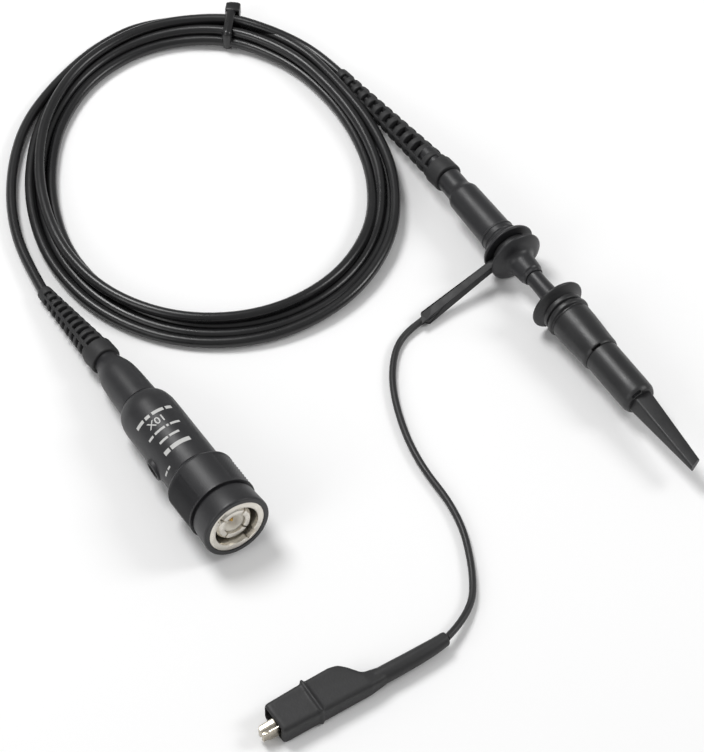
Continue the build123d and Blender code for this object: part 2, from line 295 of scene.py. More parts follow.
# Hard gold over nickel on the contacts.
GOLD = Finish("hard_gold_plate", "#d9b36c", "#b8904c", 1.0, 0.22, 0.05, Grain.TURNED, 0.08, 0.003, metallic=1.0)
# Bare turned brass of the trimmer, ferrules and sockets.
BRASS = Finish("turned_brass", "#c9a661", "#a5834a", 1.2, 0.3, 0.08, Grain.TURNED, 0.1, 0.005, metallic=1.0)
# Drawn spring-steel wire and strip.
SPRING_STEEL = Finish("spring_steel", "#aaaaac", "#8c8c8f", 1.5, 0.26, 0.06, Grain.EXTRUDED, 0.1, 0.004, metallic=1.0)
# Turned PTFE insulator: waxy white with faint rings.
PTFE = Finish("turned_ptfe", "#e9e5dc", "#d3cdc0", 1.5, 0.5, 0.06, Grain.TURNED, 0.12, 0.006, ior=1.38, tilt=PLUG_TILT)
# Moulded silicone of the sealing ring.
SILICONE = Finish("moulded_silicone", "#8d8c88", "#797874", 1.5, 0.55, 0.06, Grain.SPECKLED, 0.3, 0.01, ior=1.41)
# Glass-epoxy laminate with solder mask.
LAMINATE = Finish("glass_epoxy", "#1f5c34", "#174a29", 2.0, 0.35, 0.06, Grain.WOVEN, 0.35, 0.01)
# Fired ceramic and moulded resin of the small components.
CERAMIC = Finish("fired_ceramic", "#7c6a55", "#9a8a74", 0.8, 0.5, 0.08, Grain.SPECKLED, 0.2, 0.01)
# Pad-printed white ink: flat, thin and slightly patchy.
INK = Finish("pad_printed_ink", "#c9c9c7", "#b2b2b0", 0.5, 0.6, 0.06, Grain.SPECKLED, 0.15, 0.004)

CAD_FINISHES = {
    "nickel": PRESSED_NICKEL,
    "brass": BRASS,
    "gold": GOLD,
    "steel": SPRING_STEEL,
    "board": LAMINATE,
    "component": CERAMIC,
    "cable_jacket": CABLE_PVC,
    "lead_jacket": WIRE_PVC,
    "housing_plastic": HOUSING,
    "hook_plastic": HOOK_NYLON,
    "relief_rubber": RELIEF_RUBBER,
    "tie_nylon": TIE_NYLON,
    "lead_rubber": BOOT_PVC,
    "dielectric": PTFE,
    "silicone": SILICONE,
}


class Palette:
    """Makes each finish's material once and hands it out again."""

    def __init__(self) -> None:
        """Starts with no material made."""
        self.made: dict[str, bpy.types.Material] = {}

    def get(self, finish: Finish) -> bpy.types.Material:
        """Gives the material of a finish.

        Args:
            finish: The finish.

        Returns:
            Its material, made on the first call.
        """
        if finish.name not in self.made:
            self.made[finish.name] = finish.make()
        return self.made[finish.name]


PALETTE = Palette()


# ---- shaping --------------------------------------------------------------------------------


@dataclass(frozen=True)
class Corner:
    """One corner of a turned outline: along the axis, out from it, and how far its rounding reaches."""

    along: float
    out: float
    rounding: float = 0.0


def outline_of(corners: list[Corner]) -> bmesh.types.BMesh:
    """Draws a closed outline in the plane through the axis and rounds its corners.

    Args:
        corners: The outline's corners in order.

    Returns:
        A bmesh that holds the outline as loose edges.
    """
    bm = bmesh.new()
    verts = [bm.verts.new((c.along, 0.0, c.out)) for c in corners]
    for i, vert in enumerate(verts):
        bm.edges.new((vert, verts[(i + 1) % len(verts)]))
    for reach in sorted({c.rounding for c in corners if c.rounding > 0}):
        chosen = [v for v, c in zip(verts, corners) if c.rounding == reach]
        bmesh.ops.bevel(
            bm,
            geom=chosen,
            affect="VERTICES",
            offset=reach,
            segments=5,
            profile=0.5,
            material=-1,
            clamp_overlap=True,
        )
    return bm


def spun(bm: bmesh.types.BMesh, steps: int = ROUND_STEPS) -> bmesh.types.BMesh:
    """Turns an outline about the X axis into a closed solid.

    Args:
        bm: The outline, as loose edges.
        steps: How many faces go round.

    Returns:
        The same bmesh, now a solid.
    """
    bmesh.ops.spin(
        bm,
        geom=bm.verts[:] + bm.edges[:],
        cent=(0, 0, 0),
        axis=(1, 0, 0),
        angle=FULL_TURN,
        steps=steps,
        use_merge=True,
    )
    bmesh.ops.remove_doubles(bm, verts=bm.verts, dist=MERGE)
    bmesh.ops.recalc_face_normals(bm, faces=bm.faces)
    return bm


def turned(*corners: tuple) -> bmesh.types.BMesh:
    """Gives the solid of revolution about X with these corners, each (along, out[, rounding])."""
    return spun(outline_of([Corner(*c) for c in corners]))


def block(size: tuple, centre: tuple, rounding: float = 0.0) -> bmesh.types.BMesh:
    """Makes a box, with its edges rounded if a rounding is given.

    Args:
        size: Lengths along X, Y and Z.
        centre: Its middle.
        rounding: The radius of its edges.

    Returns:
        The box.
    """
    bm = bmesh.new()
    bmesh.ops.create_cube(bm, size=1.0)
    bmesh.ops.scale(bm, vec=size, verts=bm.verts)
    bmesh.ops.translate(bm, vec=centre, verts=bm.verts)
    if rounding > 0:
        soften(bm, rounding, math.radians(60))
    return bm


def soften(
    bm: bmesh.types.BMesh, rounding: float, angle: float, segments: int = 3, beyond: float = -math.inf
) -> None:
    """Rounds every edge that turns by more than an angle.

    Args:
        bm: The mesh.
        rounding: How far the rounding reaches on each side.
        angle: The least turn that counts, in radians.
        segments: Faces across the rounding.
        beyond: Edges that start before this place along the axis stay sharp.
    """
    edges = [
        e
        for e in bm.edges
        if len(e.link_faces) == 2
        and e.calc_face_angle() > angle
        and min(v.co.x for v in e.verts) > beyond
    ]
    bmesh.ops.bevel(
        bm,
        geom=edges,
        affect="EDGES",
        offset=rounding,
        segments=segments,
        profile=0.5,
        material=-1,
        clamp_overlap=True,
    )


def extruded(points: list[tuple], low: float, high: float) -> bmesh.types.BMesh:
    """Makes a plate from an outline in the XY plane.

    Args:
        points: The outline's corners.
        low: Height of its lower face.
        high: Height of its upper face.

    Returns:
        The plate.
    """
    bm = bmesh.new()
    face = bm.faces.new([bm.verts.new((x, y, low)) for x, y in points])
    raised = bmesh.ops.extrude_face_region(bm, geom=[face])
    tops = [v for v in raised["geom"] if isinstance(v, bmesh.types.BMVert)]
    bmesh.ops.translate(bm, vec=(0, 0, high - low), verts=tops)
    bmesh.ops.recalc_face_normals(bm, faces=bm.faces)
    return bm


def joined(*parts: bmesh.types.BMesh) -> bmesh.types.BMesh:
    """Puts several bmeshes into one.

    Args:
        parts: The bmeshes, which are used up.

    Returns:
        One bmesh with all of them.
    """
    whole = bmesh.new()
    for part in parts:
        holder = bpy.data.meshes.new("holder")
        part.to_mesh(holder)
        part.free()
        whole.from_mesh(holder)
        bpy.data.meshes.remove(holder)
    return whole


def as_object(bm: bmesh.types.BMesh, name: str) -> bpy.types.Object:
    """Wraps a bmesh, which is used up, in a linked object."""
    mesh = bpy.data.meshes.new(name)
    bm.to_mesh(mesh)
    bm.free()
    obj = bpy.data.objects.new(name, mesh)
    bpy.context.scene.collection.objects.link(obj)
    return obj


def with_modifier(bm: bmesh.types.BMesh, kind: str, settings: dict) -> bmesh.types.BMesh:
    """Runs one modifier on a bmesh and gives the result.

    Args:
        bm: The mesh, which is used up.
        kind: The modifier's type.
        settings: The modifier's properties.

    Returns:
        The changed mesh.
    """
    obj = as_object(bm, "workpiece")
    modifier = obj.modifiers.new("step", kind)
    for name, value in settings.items():
        setattr(modifier, name, value)
    shaped = obj.evaluated_get(bpy.context.evaluated_depsgraph_get())
    result = bmesh.new()
    mesh = bpy.data.meshes.new_from_object(shaped)
    result.from_mesh(mesh)
    bpy.data.meshes.remove(mesh)
    bpy.data.meshes.remove(obj.data)
    return result


def carved(bm: bmesh.types.BMesh, cutter: bmesh.types.BMesh, operation: str = "DIFFERENCE") -> bmesh.types.BMesh:
    """Cuts one solid with another, or joins them.

    Args:
        bm: The solid, which is used up.
        cutter: The other solid, which is used up too.
        operation: The Boolean operation.

    Returns:
        The result.
    """
    tool = as_object(cutter, "cutter")
    result = with_modifier(bm, "BOOLEAN", {"operation": operation, "object": tool, "solver": "EXACT"})
    bpy.data.meshes.remove(tool.data)
    bmesh.ops.remove_doubles(result, verts=result.verts, dist=MERGE)
    return result


def cad_copy(node: str, place: Matrix) -> bmesh.types.BMesh:
    """Copies a CAD node's mesh, in millimetres and in its sub-assembly's own place.

    Args:
        node: The CAD node.
        place: Where the sub-assembly stands, in millimetres.

    Returns:
        A merged copy, with its flat stretches as single faces.
    """
    bm = bmesh.new()
    bm.from_mesh(frame["nodes"][node].data)
    bmesh.ops.scale(bm, vec=(1 / MM,) * 3, verts=bm.verts)
    bmesh.ops.transform(bm, matrix=place.inverted(), verts=bm.verts)
    bmesh.ops.remove_doubles(bm, verts=bm.verts, dist=MERGE)
    bmesh.ops.dissolve_limit(bm, angle_limit=math.radians(0.5), verts=bm.verts, edges=bm.edges)
    return bm


def mark_wear(bm: bmesh.types.BMesh) -> None:
    """Stores on each vertex how much its edges stand out, for the rubbed look of corners."""
    layer = bm.verts.layers.float.new("wear")
    full = math.radians(35)
    for vert in bm.verts:
        angles = [e.calc_face_angle_signed(0.0) for e in vert.link_edges if len(e.link_faces) == 2]
        vert[layer] = min(1.0, max(0.0, max(angles, default=0.0) / full))


def finished(
    bm: bmesh.types.BMesh,
    name: str,
    place: Matrix,
    finish: Finish,
    replaces: tuple[str, ...] = (),
    body: str = ROOT_BODY,
) -> bpy.types.Object:
    """Turns a bmesh into a finished piece in its place.

    Args:
        bm: The mesh in millimetres, which is used up.
        name: The piece's name.
        place: Where its sub-assembly stands, in millimetres.
        finish: Its finish.
        replaces: The CAD nodes that it stands for.
        body: The CAD body that it rides on.

    Returns:
        The piece.
    """
    mark_wear(bm)
    bmesh.ops.transform(bm, matrix=place, verts=bm.verts)
    bmesh.ops.scale(bm, vec=(MM,) * 3, verts=bm.verts)
    for face in bm.faces:
        face.smooth = True
    for edge in bm.edges:
        edge.smooth = len(edge.link_faces) == 2 and edge.calc_face_angle() < SHARP_ANGLE
    piece = as_object(bm, name)
    piece.data.materials.append(PALETTE.get(finish))
    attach(piece, body)
    if replaces:
        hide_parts(*replaces)
    log.info("%s: %d faces", name, len(piece.data.polygons))
    return piece


def relief_mesh(
    tail: float, collar_end: float, collar_out: float, windows: int, roll: float = 0.0
) -> bmesh.types.BMesh:
    """Makes a ladder strain relief: a tapered rubber tube with four rows of windows, then a collar.

    Args:
        tail: Where the thin end is.
        collar_end: Where the collar ends.
        collar_out: The collar's radius.
        windows: How many windows a row has.
        roll: How far the rows are turned from the top towards -Y, in degrees.

    Returns:
        The relief, with rounded window rims.
    """
    tail_out, inside, collar_long = 1.65, 1.26, 4.0
    collar = collar_end - collar_long
    pitch = (collar - tail - 2.0) / (windows + 0.5)
    bm = bmesh.new()
    start = bm.verts.new((tail, 0.0, tail_out))
    verts = [start]
    steps = 2 * windows + 1
    stops = [tail + 2.0 + pitch / 2 * i for i in range(steps + 1)]
    for along in stops:
        share = (along - tail) / (collar - tail)
        out = tail_out + share * (collar_out - 0.3 - tail_out)
        verts.append(bm.verts.new((along, 0.0, out)))
    for before, after in zip(verts, verts[1:]):
        bm.edges.new((before, after))
    round_steps = 40
    bmesh.ops.spin(
        bm,
        geom=bm.verts[:] + bm.edges[:],
        cent=(0, 0, 0),
        axis=(1, 0, 0),
        angle=FULL_TURN,
        steps=round_steps,
        use_merge=True,
    )
    bmesh.ops.remove_doubles(bm, verts=bm.verts, dist=MERGE)
    quarter = math.pi / 2
    holes = []
    for face in bm.faces:
        middle = face.calc_center_median()
        step = int((middle.x - stops[0]) // (pitch / 2))
        turn = (math.atan2(middle.y, middle.z) + FULL_TURN + quarter / 2) % FULL_TURN
        row = int(turn // quarter)
        across = (turn % quarter) / quarter - 0.5
        if middle.x > stops[0] and 0 <= step < steps and step % 2 == row % 2 and abs(across) < 0.36:
            holes.append(face)
    bmesh.ops.delete(bm, geom=holes, context="FACES")
    bmesh.ops.recalc_face_normals(bm, faces=bm.faces)
    if sum(f.normal.dot(f.calc_center_median() * Vector((0, 1, 1))) for f in bm.faces) < 0:
        bmesh.ops.reverse_faces(bm, faces=bm.faces)
    outside = set(bm.verts)
    bmesh.ops.solidify(bm, geom=bm.faces[:], thickness=0.2)
    for vert in bm.verts:
        if vert not in outside:
            radial = Vector((0, vert.co.y, vert.co.z))
            vert.co += radial.normalized() * (inside - radial.length)
    bmesh.ops.recalc_face_normals(bm, faces=bm.faces)
    rims = [
        e
        for e in bm.edges
        if e.calc_face_angle(0.0) > math.radians(50) and all(v in outside for v in e.verts)
    ]
    bmesh.ops.bevel(
        bm, geom=rims, affect="EDGES", offset=0.27, segments=3, profile=0.5, material=-1, clamp_overlap=True
    )
    turn = Matrix.Rotation(math.radians(roll), 3, "X")
    bmesh.ops.rotate(bm, cent=(0, 0, 0), matrix=turn, verts=bm.verts)
    cap = turned(
        (collar - 0.02, inside),
        (collar - 0.02, collar_out - 0.32),
        (collar, collar_out, 0.3),
        (collar_end, collar_out, 0.35),
        (collar_end, 2.2),
        (collar_end - 3.0, 2.2),
        (collar_end - 3.0, inside),
    )
    return joined(bm, cap)


# ---- sub-assemblies -------------------------------------------------------------------------


@dataclass
class ProbeHead:
    """Housing with its finger disc, the loose front disc with its hub, the nose and the relief."""

    axis_height: float = 6.2
    relief_start: float = -24.5
    half_length: float = 68.0
    shoulder: float = -18.5
    disc_face: float = -0.4
    front_disc: float = 1.9
    hub_end: float = 9.2
    guard: float = 6.2
    relief_windows: int = 12
    relief_collar: float = 3.45
    relief_yaw: float = 1.6

    def place(self) -> Matrix:
        """Where the head's axis lies."""
        return Matrix.Translation((0, 0, self.axis_height))

    def build(self) -> None:
        """Builds the head's pieces."""
        self.housing()
        self.front_guard()
        self.nose()
        self.relief()

    def housing(self) -> None:
        """The moulded housing: a neck, a shoulder, a long barrel with two fine rings, and a disc."""
        rear, face = self.relief_start, self.disc_face
        shell = turned(
            (rear - 9.0, 1.6),
            (rear - 9.0, 2.15, 0.2),
            (rear, 2.15),
            (rear, 2.85, 0.25),
            (self.shoulder - 1.2, 2.85, 0.8),
            (self.shoulder, 3.6, 0.55),
            (face - 5.0, 3.85),
            (face - 4.8, 4.02, 0.08),
            (face - 4.5, 4.02, 0.08),
            (face - 4.4, 3.86),
            (face - 3.5, 3.9),
            (face - 3.4, 4.08, 0.08),
            (face - 3.1, 4.08, 0.08),
            (face - 2.9, 3.92),
            (face - 1.5, 4.2, 0.6),
            (face - 1.1, 5.8, 0.35),
            (face - 0.4, self.guard, 0.38),
            (face, self.guard, 0.3),
            (face, 2.05),
            (face - 2.6, 2.05),
            (face - 2.6, 2.9),
            (self.shoulder + 1.0, 2.9),
            (self.shoulder + 1.0, 2.3),
            (self.shoulder - 3.5, 2.3),
            (self.shoulder - 3.5, 1.6),
        )
        finished(shell, "housing", self.place(), HOUSING, ("head_housing",))

    def front_guard(self) -> None:
        """The loose front disc, dished forward into a short glossy hub."""
        face, end = self.front_disc, self.hub_end
        disc = turned(
            (face, 2.05),
            (face, self.guard, 0.3),
            (face + 0.55, self.guard, 0.28),
            (face + 1.4, 4.9, 0.6),
            (face + 1.75, 3.5, 0.5),
            (face + 2.7, 2.95, 0.4),
            (end - 1.0, 2.68, 0.25),
            (end - 0.75, 2.45, 0.15),
            (end, 2.3, 0.2),
            (end, 2.05),
        )
        finished(disc, "guard_disc", self.place(), HOUSING, ("front_guard",))

    def nose(self) -> None:
        """The insulator: a waisted neck that flares into the hook tip."""
        insulator = turned(
            (6.0, 0.45),
            (6.0, 1.5),
            (self.hub_end - 0.7, 1.5),
            (self.hub_end - 0.7, 1.95),
            (12.0, 1.9, 1.6),
            (17.0, 2.2, 1.2),
            (18.5, 2.2, 0.15),
            (18.5, 1.9),
            (25.0, 1.9, 0.2),
            (25.0, 0.45),
        )
        finished(insulator, "nose_neck", self.place(), HOUSING, ("nose_insulator",))

    def relief(self) -> None:
        """The long ladder relief, which droops from the housing to the surface."""
        reach = self.half_length + self.relief_start
        droop = math.atan((self.axis_height - 1.65) / reach)
        place = (
            Matrix.Translation((self.relief_start, 0, self.axis_height))
            @ Matrix.Rotation(math.radians(self.relief_yaw), 4, "Z")
            @ Matrix.Rotation(-droop, 4, "Y")
        )
        tail = -reach / math.cos(droop)
        mesh = relief_mesh(tail, 0.0, self.relief_collar, self.relief_windows, 22.8)
        finished(mesh, "head_strain_relief", place, RELIEF_RUBBER, ("head_relief",))
        core = turned((tail, 0.0), (tail, 1.2), (-9.6, 1.2), (-9.6, 0.0))
        finished(core, "cable_in_head", place, CABLE_PVC, ("head_cable_end",))


@dataclass
class HookTip:
    """Spring hook tip: the sleeves that slide back over the hook."""

    axis_height: float = 6.2
    flange_rim: float = 17.8
    grip_end: float = 34.7
    beak_start: float = 49.0
    beak_tip: float = 68.9
    beak_roll: float = 22.8
    slit_turn: float = 23.0
    slit_wide: float = 2.3
    slit_long: float = 0.55

    def place(self) -> Matrix:
        """Where the hook tip's axis lies."""
        return Matrix.Translation((0, 0, self.axis_height))

    def build(self) -> None:
        """Builds the sliding sleeves."""
        self.grip()
        self.beak()

    def slit(self, along: float, out: float) -> bmesh.types.BMesh:
        """A cutter for the small latch window at the end of a sleeve."""
        cutter = block((self.slit_long, self.slit_wide, 1.5), (along - self.slit_long / 2 + 0.1, 0, out))
        turn = Matrix.Rotation(math.radians(self.slit_turn), 4, "X")
        bmesh.ops.transform(cutter, matrix=turn, verts=cutter.verts)
        return cutter

    def grip(self) -> None:
        """The grip sleeve: a dished flange, a waist, two ridges and a slightly tapered body."""
        rim, end = self.flange_rim, self.grip_end
        sleeve = turned(
            (rim, 5.4, 0.1),
            (rim, 6.2, 0.3),
            (rim + 0.6, 6.2, 0.25),
            (rim + 1.25, 4.8, 0.6),
            (rim + 1.95, 4.0, 0.3),
            (rim + 2.1, 4.72, 0.12),
            (rim + 3.1, 4.72, 0.16),
            (rim + 3.3, 4.15, 0.1),
            (rim + 3.75, 4.15, 0.1),
            (rim + 3.95, 5.0, 0.18),
            (rim + 4.85, 5.0, 0.18),
            (rim + 5.05, 4.42, 0.12),
            (rim + 5.5, 4.42, 0.15),
            (rim + 5.7, 4.62, 0.12),
            (rim + 8.6, 4.58, 1.0),
            (end - 2.2, 4.25, 0.6),
            (end - 0.6, 4.25, 0.25),
            (end, 4.0, 0.15),
            (end, 3.8),
            (30.0, 3.8),
            (30.0, 3.3),
            (rim + 1.1, 3.3),
            (rim + 1.1, 2.4),
            (rim + 0.6, 2.4),
        )
        sleeve = carved(sleeve, self.slit(end, 4.0))
        finished(
            sleeve, "hook_grip", self.place(), HOOK_NYLON, ("grip_sleeve",), "hook_sleeve"
        )

    def beak(self) -> None:
        """The front sleeve with its flattened beak, slotted below for the hook."""
        start = self.beak_start
        sleeve = turned(
            (30.1, 3.3),
            (30.1, 3.75),
            (self.grip_end + 0.1, 3.75),
            (self.grip_end + 0.1, 3.85),
            (start - 3.4, 3.85, 0.3),
            (start - 0.9, 3.8, 0.45),
            (start, 3.25, 0.25),
            (start, 1.7),
            (46.0, 1.7),
            (46.0, 3.3),
        )
        sleeve = carved(sleeve, self.slit(self.grip_end, 3.95))
        sleeve = carved(sleeve, self.slit(start, 3.45))
        bore = turned((start - 1.2, 0.0), (start - 1.2, 1.7), (start + 2.0, 1.7), (start + 2.0, 0.0))
        beak = carved(carved(self.beak_mesh(), self.slit(start, 3.45)), bore)
        finished(
            joined(sleeve, beak),
            "hook_beak",
            self.place(),
            HOOK_NYLON,
            ("beak_sleeve",),
            "hook_sleeve",
        )

    def beak_mesh(self) -> bmesh.types.BMesh:
        """Draws the beak: a ridged bar with five sides that thins towards its slanted tip.

        Returns:
            The beak, rolled about the axis and slotted from below.
        """
        base = [(2.85, 0.9), (-0.75, 2.45), (-3.05, 0.2), (-2.4, -2.1), (2.5, -1.9)]
        tip = [(1.25, 0.25), (-1.0, 0.8), (-1.6, 0.15), (-1.4, -0.55), (1.25, -0.55)]
        bm = bmesh.new()
        ends = []
        for along, section, slant in ((self.beak_start - 1.0, base, 0.0), (self.beak_tip, tip, 0.36)):
            verts = [bm.verts.new((along - slant * (y + 1.6), y, z)) for y, z in section]
            face = bm.faces.new(verts)
            ends.append(face)
        rims = [e for face in ends for e in face.edges]
        bmesh.ops.bridge_loops(bm, edges=rims)
        bmesh.ops.recalc_face_normals(bm, faces=bm.faces)
        front = [e for e in ends[1].edges]
        sides = [e for e in bm.edges if e not in rims]
        for edges, reach in ((sides, 0.42), (front, 0.16)):
            alive = [e for e in edges if e.is_valid]
            bmesh.ops.bevel(
                bm,
                geom=alive,
                affect="EDGES",
                offset=reach,
                segments=4,
                profile=0.5,
                material=-1,
                clamp_overlap=True,
            )
        roll = Matrix.Rotation(math.radians(self.beak_roll), 4, "X")
        bmesh.ops.transform(bm, matrix=roll, verts=bm.verts)
        slot = block((19.4, 0.8, 3.0), (57.7, 0, -1.6))
        bmesh.ops.transform(slot, matrix=roll, verts=slot.verts)
        return carved(bm, slot)


@dataclass
class SignalCable:
    """The coiled signal cable between the two strain reliefs, and the tie that holds its turns."""

    thickness: float = 2.4
    centre: tuple[float, float] = (-57.7, -42.9)
    mean_radius: float = 42.75
    first_turn_at: float = 144.0
    points_per_turn: int = 16
    turn_points: int = 66
    free_length: float = 1.2
    relax_rounds: int = 260
    relief_side: tuple[float, float] = (-4.57, -0.0069)
    tie_place: tuple[float, float] = (-93.1, -16.0)
    tie_turn: float = 52.0

    def mean_at(self, angle: float) -> float:
        """The middle of the bundle, from the centre: an oval, fuller on one side.

        Args:
            angle: The direction, in degrees.

        Returns:
            The radius there.
        """
        lobes = ((1.4, 1, 27.0), (4.1, 2, -17.0), (0.55, 3, 40.0))
        ripple = sum(size * math.cos(math.radians(n * (angle - turn))) for size, n, turn in lobes)
        return self.mean_radius + ripple

    def room_at(self, angle: float) -> tuple[float, float]:
        """Where the strands' middles may lie: a little less wide by the tie, and clear of the relief.

        Args:
            angle: The direction, in degrees.

        Returns:
            The least and the greatest distance out from the middle of the bundle.
        """
        heading = angle % 360
        wider = math.exp(-((heading - 185.0) / 50.0) ** 2)
        tied = math.exp(-((heading - self.first_turn_at) / 14.0) ** 2)
        room = 3.05 + 0.75 * wider - 0.6 * tied
        if not 45 < heading < 115:
            return -room, room
        # the relief's near side is a line that runs almost along the axis
        level, slope = self.relief_side
        rise = math.sin(math.radians(heading)) - slope * math.cos(math.radians(heading))
        beside = (level + slope * self.centre[0] - self.centre[1]) / rise - self.mean_at(angle)
        return -3.4, min(room, beside)

    def strands(self) -> list[Vector]:
        """Winds the turns outwards and lets them settle beside and on each other.

        Returns:
            For each point of the turns, how far out of the bundle's middle it lies and its height.
        """
        around = self.points_per_turn
        spots = []
        for n in range(self.turn_points):
            turns = n / around
            spread = -3.6 + 2.4 * (turns - 1)
            height = 1.3 + 0.6 * (int(turns) % 2)
            if turns < 0.75:
                fall = turns / 0.75
                spread = 1.6 - 5.6 * fall
                height = 4.3 - 2.2 * fall * fall
            spots.append(Vector((spread, height)))
        for _ in range(self.relax_rounds):
            for n in range(1, self.turn_points - 1):
                middle = (spots[n - 1] + spots[n + 1]) / 2
                spots[n] = spots[n].lerp(middle, 0.18)
            for n in range(self.turn_points):
                self.settle(spots, n)
        return spots

    def settle(self, spots: list[Vector], n: int) -> None:
        """Moves one point of a turn down, off its neighbours and into its room.

        Args:
            spots: All the points.
            n: Which one.
        """
        around = self.points_per_turn
        angle = self.first_turn_at + 360 / around * n
        spots[n].y -= 0.03
        for other in range(n % around, self.turn_points, around):
            apart = spots[n] - spots[other]
            if other != n and apart.length < self.thickness:
                push = apart.normalized() * (self.thickness - apart.length) / 2
                spots[n] += push
                spots[other] -= push
        least, greatest = self.room_at(angle)
        if n > self.turn_points - 3:
            greatest += 1.8
        kept = min(max(spots[n].x, least), greatest)
        spots[n].x += (kept - spots[n].x) * 0.6
        floor = self.thickness / 2 + (0.85 if n % around == 0 else 0.02)
        spots[n].y = max(spots[n].y, floor)

    def route(self) -> list[tuple[float, float, float]]:
        """The cable's route: listed points from the head, in turns, and listed points to the plug.

        Returns:
            The control points, in millimetres.
        """
        points = [(-68.0, -1.2, 1.65), (-75.0, -1.9, 1.5), (-82.0, -4.6, 2.2), (-88.4, -9.2, 3.6)]
        for n, spot in enumerate(self.strands()):
            angle = self.first_turn_at + 360 / self.points_per_turn * n
            out = self.mean_at(angle) + spot.x
            x = self.centre[0] + out * math.cos(math.radians(angle))
            y = self.centre[1] + out * math.sin(math.radians(angle))
            points.append((x, y, spot.y))
        points += [
            (-105.6, -43.2, 1.3),
            (-102.8, -52.2, 1.22),
            (-98.3, -61.6, 1.22),
            (-92.6, -70.0, 1.22),
            (-84.4, -77.2, 1.22),
            (-75.0, -83.0, 1.22),
            (-65.1, -87.0, 1.22),
            (-55.5, -89.0, 1.3),
            (-46.4, -89.9, 1.65),
        ]
        return points

    def build(self) -> bpy.types.Object:
        """Lays the cable.

        Returns:
            The cable, a curve of one spline.
        """
        cable = curve_piece("signal_cable", self.route(), self.thickness / 2, CABLE_PVC)
        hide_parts("cable_coil", "cable_head_run", "cable_plug_run")
        return cable

    def declare(self, cable: bpy.types.Object, pieces: list[bpy.types.Object]) -> None:
        """Works out where the cable leaves the head, in metres, and does nothing more with it."""
        exit_point = [v * MM for v in self.route()[0]]

    def tie(self) -> bpy.types.Object:
        """The tie: a thin strap round the bundle, its locking head and the cut tail.

        Returns:
            The tie.
        """
        strap = block((2.5, 8.9, 5.7), (0, 0, 2.86))
        soften(strap, 1.6, math.radians(60), segments=6)
        hole = block((4.0, 7.5, 4.5), (0, 0, 2.96))
        soften(hole, 1.2, math.radians(60), segments=6)
        strap = carved(strap, hole)
        soften(strap, 0.12, math.radians(50), segments=2)
        head = block((3.4, 2.7, 3.4), (0.3, 4.9, 3.9), 0.4)
        slot = block((2.5, 4.0, 0.9), (0.3, 5.2, 4.6))
        head = carved(head, slot)
        tail = block((2.3, 1.2, 0.8), (0.3, 6.3, 4.6), 0.2)
        place = Matrix.Translation((*self.tie_place, 0)) @ Matrix.Rotation(
            math.radians(self.tie_turn), 4, "Z"
        )
        mesh = joined(strap, head, tail)
        return finished(mesh, "bundle_tie", place, TIE_NYLON, ("cable_tie",))


def curve_piece(
    name: str, route: list[tuple[float, float, float]], radius: float, finish: Finish
) -> bpy.types.Object:
    """Makes a cord from the control points of one smooth spline.

    Args:
        name: The piece's name.
        route: The control points, in millimetres.
        radius: Its radius, in millimetres.
        finish: Its finish.

    Returns:
        The cord.
    """
    data = bpy.data.curves.new(name, "CURVE")
    data.dimensions = "3D"
    spline = data.splines.new("NURBS")
    spline.points.add(len(route) - 1)
    for point, place in zip(spline.points, route):
        point.co = (*(v * MM for v in place), 1.0)
    spline.order_u = 3
    spline.use_endpoint_u = True
    data.resolution_u = 8
    data.bevel_depth = radius * MM
    data.bevel_resolution = 6
    data.use_fill_caps = True
    piece = bpy.data.objects.new(name, data)
    bpy.context.scene.collection.objects.link(piece)
    data.materials.append(PALETTE.get(finish))
    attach(piece, ROOT_BODY)
    log.info("%s: %d control points", name, len(route))
    return piece


